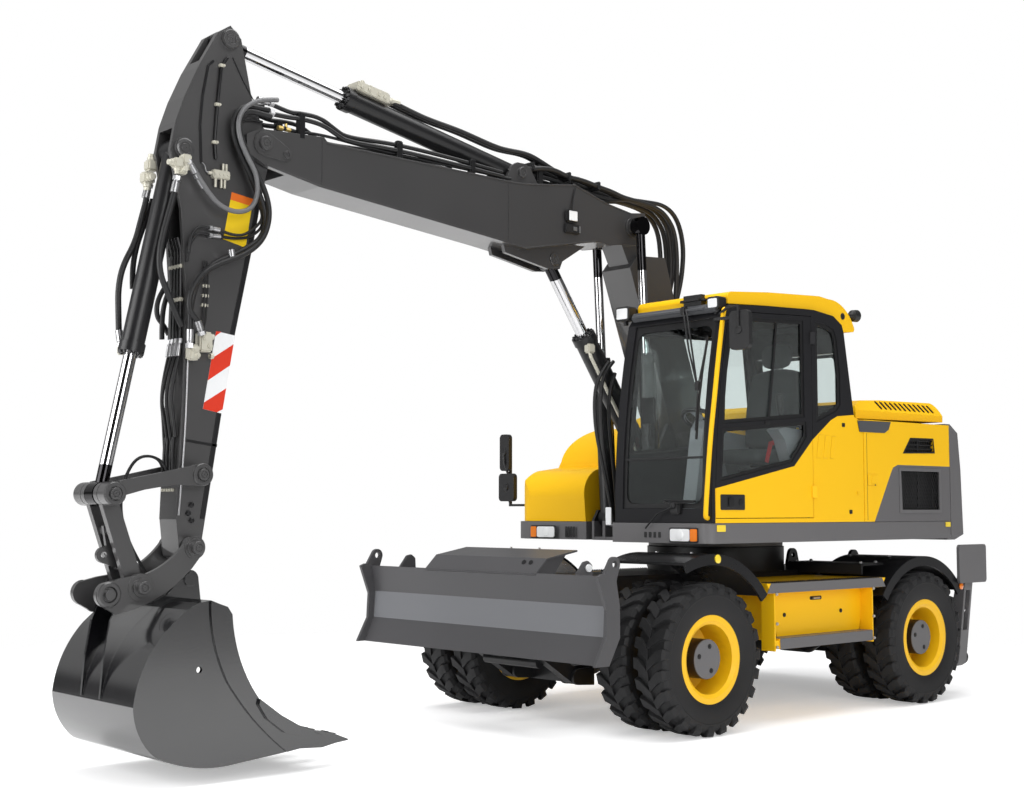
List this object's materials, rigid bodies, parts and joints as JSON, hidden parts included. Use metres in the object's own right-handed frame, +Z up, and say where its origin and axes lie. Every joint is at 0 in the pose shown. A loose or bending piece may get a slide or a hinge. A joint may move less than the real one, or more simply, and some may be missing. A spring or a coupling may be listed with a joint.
{
  "type": "wheeled excavator",
  "caption": "Wheeled excavator with a two-piece boom, bucket, front blade, rear outriggers and twin tyres; cab, slewing deck and every hydraulic cylinder move.",
  "frame": {"origin": "on the slew axis at ground level", "axes": "+X to the machine's front, along its length; +Y to its left; +Z up"},
  "size_m": [7.5584, 3.07, 4.4998],
  "materials": {
    "tyre": "matte",
    "wheel_yellow": "satin",
    "chassis_black": "satin",
    "fender_black": "matte",
    "step_yellow": "satin",
    "blade_grey": "satin",
    "cylinder_grey": "satin",
    "rod_chrome": "polished",
    "belt_grey": "satin",
    "body_yellow": "gloss",
    "engine_iron": "matte",
    "cab_dark": "satin",
    "glass": "gloss",
    "seat_cloth": "matte",
    "cab_plastic": "matte",
    "boom_grey": "satin",
    "bucket_black": "gloss"
  },
  "bodies": {
    "undercarriage": {"chassis_frame": "chassis_black", "front_axle": "chassis_black", "rear_axle": "chassis_black", "transmission": "chassis_black", "fenders": "fender_black", "tool_boxes": "step_yellow"},
    "knuckle_left": {"knuckle_left": "chassis_black"},
    "knuckle_right": {"knuckle_right": "chassis_black"},
    "tie_rod": {"tie_rod": "chassis_black"},
    "wheel_front_left": {"tyres_front_left": "tyre", "rims_front_left": "wheel_yellow"},
    "wheel_front_right": {"tyres_front_right": "tyre", "rims_front_right": "wheel_yellow"},
    "wheel_rear_left": {"tyres_rear_left": "tyre", "rims_rear_left": "wheel_yellow"},
    "wheel_rear_right": {"tyres_rear_right": "tyre", "rims_rear_right": "wheel_yellow"},
    "blade_arms": {"blade_arms": "chassis_black"},
    "blade_links": {"blade_links": "chassis_black"},
    "blade": {"blade": "blade_grey"},
    "blade_cylinder_barrels": {"blade_cylinder_barrels": "cylinder_grey"},
    "blade_cylinder_rods": {"blade_cylinder_rods": "rod_chrome"},
    "outrigger_left": {"outrigger_left": "blade_grey"},
    "outrigger_right": {"outrigger_right": "blade_grey"},
    "outrigger_barrel_left": {"outrigger_barrel_left": "cylinder_grey"},
    "outrigger_barrel_right": {"outrigger_barrel_right": "cylinder_grey"},
    "outrigger_rod_left": {"outrigger_rod_left": "rod_chrome"},
    "outrigger_rod_right": {"outrigger_rod_right": "rod_chrome"},
    "upper": {"upper_frame": "belt_grey", "counterweight": "belt_grey", "engine_housing": "body_yellow", "engine": "engine_iron", "tank_housing": "body_yellow", "cab_frame": "cab_dark", "cab_roof": "body_yellow", "cab_glass": "glass", "seat": "seat_cloth", "consoles": "cab_plastic", "mirrors": "cab_plastic"},
    "cab_door": {"cab_door": "cab_dark", "door_glass": "glass"},
    "engine_hood": {"engine_hood": "body_yellow"},
    "lower_boom": {"lower_boom": "boom_grey"},
    "hoist_barrels": {"hoist_barrels": "cylinder_grey"},
    "hoist_rods": {"hoist_rods": "rod_chrome"},
    "upper_boom": {"upper_boom": "boom_grey"},
    "adjust_barrel": {"adjust_barrel": "cylinder_grey"},
    "adjust_rod": {"adjust_rod": "rod_chrome"},
    "arm": {"arm": "boom_grey"},
    "arm_cylinder_barrel": {"arm_cylinder_barrel": "cylinder_grey"},
    "arm_cylinder_rod": {"arm_cylinder_rod": "rod_chrome"},
    "bucket_cylinder_barrel": {"bucket_cylinder_barrel": "cylinder_grey"},
    "bucket_cylinder_rod": {"bucket_cylinder_rod": "rod_chrome"},
    "rockers": {"rockers": "boom_grey"},
    "bucket_link": {"bucket_link": "boom_grey"},
    "bucket": {"bucket": "bucket_black", "quick_coupler": "boom_grey"}
  },
  "joints": [
    {"name": "steer_left", "type": "hinge", "parent": "undercarriage", "child": "knuckle_left", "pos_m": [1.538, 0.66, 0.52], "axis": [0, 0, 1], "range_deg": [-30, 30]},
    {"name": "steer_right", "type": "hinge", "parent": "undercarriage", "child": "knuckle_right", "pos_m": [1.538, -0.66, 0.52], "axis": [0, 0, 1], "range_deg": [-30, 30]},
    {"name": "steering_rod", "type": "slide", "parent": "undercarriage", "child": "tie_rod", "axis": [0, 1, 0], "range_m": [-0.12, 0.12]},
    {"name": "roll_front_left", "type": "hinge", "parent": "knuckle_left", "child": "wheel_front_left", "pos_m": [1.538, 0.96, 0.52], "axis": [0, 1, 0], "continuous": true},
    {"name": "roll_front_right", "type": "hinge", "parent": "knuckle_right", "child": "wheel_front_right", "pos_m": [1.538, -0.96, 0.52], "axis": [0, 1, 0], "continuous": true},
    {"name": "roll_rear_left", "type": "hinge", "parent": "undercarriage", "child": "wheel_rear_left", "pos_m": [-1.063, 0.96, 0.52], "axis": [0, 1, 0], "continuous": true},
    {"name": "roll_rear_right", "type": "hinge", "parent": "undercarriage", "child": "wheel_rear_right", "pos_m": [-1.063, -0.96, 0.52], "axis": [0, 1, 0], "continuous": true},
    {"name": "blade_lift", "type": "hinge", "parent": "undercarriage", "child": "blade_arms", "pos_m": [1.934, 0, 0.359], "axis": [0, -1, 0], "range_deg": [-72, 5]},
    {"name": "blade_level", "type": "hinge", "parent": "blade_arms", "child": "blade", "pos_m": [2.4, 0, 0.65], "axis": [0, -1, 0], "range_deg": [-5, 72]},
    {"name": "blade_link_swing", "type": "hinge", "parent": "undercarriage", "child": "blade_links", "pos_m": [1.934, 0, 0.659], "axis": [0, -1, 0], "range_deg": [-72, 5]},
    {"name": "blade_cylinder_swing", "type": "hinge", "parent": "undercarriage", "child": "blade_cylinder_barrels", "pos_m": [1.84, 0, 0.985], "axis": [0, -1, 0], "range_deg": [-21.9, 1.7]},
    {"name": "blade_cylinder_stroke", "type": "slide", "parent": "blade_cylinder_barrels", "child": "blade_cylinder_rods", "axis": [0.7358, 0, -0.6772], "range_m": [-0.03, 0.407]},
    {"name": "outrigger_left", "type": "hinge", "parent": "undercarriage", "child": "outrigger_left", "pos_m": [-1.8, 1.07, 0.3], "axis": [-1, 0, 0], "range_deg": [0, 100]},
    {"name": "outrigger_swing_left", "type": "hinge", "parent": "undercarriage", "child": "outrigger_barrel_left", "pos_m": [-1.8, 0.4, 0.985], "axis": [-1, 0, 0], "range_deg": [-0.1, 14.1]},
    {"name": "outrigger_stroke_left", "type": "slide", "parent": "outrigger_barrel_left", "child": "outrigger_rod_left", "axis": [0, 0.9315, -0.3637], "range_m": [-0.001, 0.6]},
    {"name": "outrigger_right", "type": "hinge", "parent": "undercarriage", "child": "outrigger_right", "pos_m": [-1.8, -1.07, 0.3], "axis": [1, 0, 0], "range_deg": [0, 100]},
    {"name": "outrigger_swing_right", "type": "hinge", "parent": "undercarriage", "child": "outrigger_barrel_right", "pos_m": [-1.8, -0.4, 0.985], "axis": [1, 0, 0], "range_deg": [-0.1, 14.1]},
    {"name": "outrigger_stroke_right", "type": "slide", "parent": "outrigger_barrel_right", "child": "outrigger_rod_right", "axis": [0, -0.9315, -0.3637], "range_m": [-0.001, 0.6]},
    {"name": "slew", "type": "hinge", "parent": "undercarriage", "child": "upper", "pos_m": [0, 0, 1.27], "axis": [0, 0, 1], "continuous": true},
    {"name": "cab_door", "type": "hinge", "parent": "upper", "child": "cab_door", "pos_m": [0.325, 1.25, 2.2], "axis": [0, 0, 1], "range_deg": [0, 150]},
    {"name": "engine_hood", "type": "hinge", "parent": "upper", "child": "engine_hood", "pos_m": [-0.282, 0, 2.247], "axis": [0, 1, 0], "range_deg": [0, 60]},
    {"name": "boom_lift", "type": "hinge", "parent": "upper", "child": "lower_boom", "pos_m": [0.3, 0, 1.85], "axis": [0, -1, 0], "range_deg": [-52, 15]},
    {"name": "hoist_swing", "type": "hinge", "parent": "upper", "child": "hoist_barrels", "pos_m": [1, 0, 1.47], "axis": [0, -1, 0], "range_deg": [-49.8, 14.5]},
    {"name": "hoist_stroke", "type": "slide", "parent": "hoist_barrels", "child": "hoist_rods", "axis": [0.054, 0, 0.9985], "range_m": [-0.65, 0.189]},
    {"name": "boom_fold", "type": "hinge", "parent": "lower_boom", "child": "upper_boom", "pos_m": [1.12, 0, 3.69], "axis": [0, 1, 0], "range_deg": [-28, 36]},
    {"name": "adjust_swing", "type": "hinge", "parent": "lower_boom", "child": "adjust_barrel", "pos_m": [0.8, 0, 1.85], "axis": [0, 1, 0], "range_deg": [-1.9, 2.4]},
    {"name": "adjust_stroke", "type": "slide", "parent": "adjust_barrel", "child": "adjust_rod", "axis": [0.5792, 0, 0.8152], "range_m": [-0.474, 0.369]},
    {"name": "arm_reach", "type": "hinge", "parent": "upper_boom", "child": "arm", "pos_m": [4.42, 0, 3.79], "axis": [0, -1, 0], "range_deg": [-22, 80]},
    {"name": "arm_cylinder_swing", "type": "hinge", "parent": "upper_boom", "child": "arm_cylinder_barrel", "pos_m": [2.23, 0, 3.955], "axis": [0, -1, 0], "range_deg": [-0.4, 0.2]},
    {"name": "arm_cylinder_stroke", "type": "slide", "parent": "arm_cylinder_barrel", "child": "arm_cylinder_rod", "axis": [0.9823, 0, 0.1875], "range_m": [-0.743, 0.206]},
    {"name": "bucket_curl", "type": "hinge", "parent": "arm", "child": "bucket", "pos_m": [4.863, 0, 1.311], "axis": [0, 1, 0], "range_deg": [-100, 50]},
    {"name": "rocker_swing", "type": "hinge", "parent": "arm", "child": "rockers", "pos_m": [4.836, 0, 1.738], "axis": [0, 1, 0], "range_deg": [-75.2, 37.7]},
    {"name": "link_swing", "type": "hinge", "parent": "rockers", "child": "bucket_link", "pos_m": [5.392, 0, 1.623], "axis": [0, 1, 0], "range_deg": [-27, 53.9]},
    {"name": "bucket_cylinder_swing", "type": "hinge", "parent": "arm", "child": "bucket_cylinder_barrel", "pos_m": [4.95, 0, 3.68], "axis": [0, 1, 0], "range_deg": [-1.8, 1]},
    {"name": "bucket_cylinder_stroke", "type": "slide", "parent": "bucket_cylinder_barrel", "child": "bucket_cylinder_rod", "axis": [0.2101, 0, -0.9777], "range_m": [-0.609, 0.305]}
  ],
  "couplings": [
    {"joint": "steer_right", "follows": "steer_left", "ratio": 1},
    {"joint": "steering_rod", "follows": "steer_left", "m_per_rad": -0.2244},
    {"joint": "blade_level", "follows": "blade_lift", "ratio": -1},
    {"joint": "blade_link_swing", "follows": "blade_lift", "ratio": 1},
    {"joint": "blade_cylinder_swing", "follows": "blade_lift", "ratio": 0.3015},
    {"joint": "blade_cylinder_stroke", "follows": "blade_lift", "m_per_rad": -0.3224},
    {"joint": "outrigger_swing_left", "follows": "outrigger_left", "ratio": 0.1396},
    {"joint": "outrigger_stroke_left", "follows": "outrigger_left", "m_per_rad": 0.3428},
    {"joint": "outrigger_swing_right", "follows": "outrigger_right", "ratio": 0.1396},
    {"joint": "outrigger_stroke_right", "follows": "outrigger_right", "m_per_rad": 0.3428},
    {"joint": "hoist_swing", "follows": "boom_lift", "ratio": 0.9556},
    {"joint": "hoist_stroke", "follows": "boom_lift", "m_per_rad": 0.7147},
    {"joint": "adjust_swing", "follows": "boom_fold", "ratio": 0.0637},
    {"joint": "adjust_stroke", "follows": "boom_fold", "m_per_rad": -0.7518},
    {"joint": "arm_cylinder_swing", "follows": "arm_reach", "ratio": -0.0026},
    {"joint": "arm_cylinder_stroke", "follows": "arm_reach", "m_per_rad": -0.5313},
    {"joint": "rocker_swing", "follows": "bucket_curl", "ratio": 0.7508},
    {"joint": "link_swing", "follows": "bucket_curl", "ratio": -0.5376},
    {"joint": "bucket_cylinder_swing", "follows": "bucket_curl", "ratio": 0.0162},
    {"joint": "bucket_cylinder_stroke", "follows": "bucket_curl", "m_per_rad": 0.3482}
  ]
}
